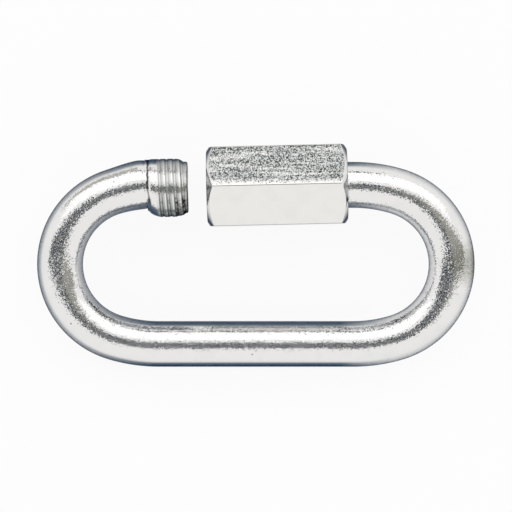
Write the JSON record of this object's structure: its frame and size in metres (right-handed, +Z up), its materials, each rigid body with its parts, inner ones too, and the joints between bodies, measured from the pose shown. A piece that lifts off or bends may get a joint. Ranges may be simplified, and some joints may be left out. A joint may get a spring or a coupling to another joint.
{
  "type": "chain quick link",
  "caption": "Oval link bent from round zinc-plated steel bar, with a hexagonal sleeve nut that screws along threaded studs to open or close a gate for joining chain.",
  "frame": {"origin": "on the surface that the link lies on, under the middle of its bounding box", "axes": "+X along the straight back leg, towards the end that carries the sleeve; +Y across the link, from the back leg to the gate; +Z up from the surface"},
  "size_m": [0.0572, 0.029, 0.0117],
  "materials": {
    "link_zinc": "bright zinc plate on bent round bar",
    "sleeve_zinc": "bright zinc plate on hexagonal bar"
  },
  "bodies": {
    "link": {"link_rod": "link_zinc"},
    "sleeve": {"sleeve_nut": "sleeve_zinc"}
  },
  "joints": [
    {"name": "sleeve_travel", "type": "slide", "parent": "link", "child": "sleeve", "axis": [0.9997, 0.0225, 0.0031], "range_m": [-0.0072, 0.005]}
  ]
}
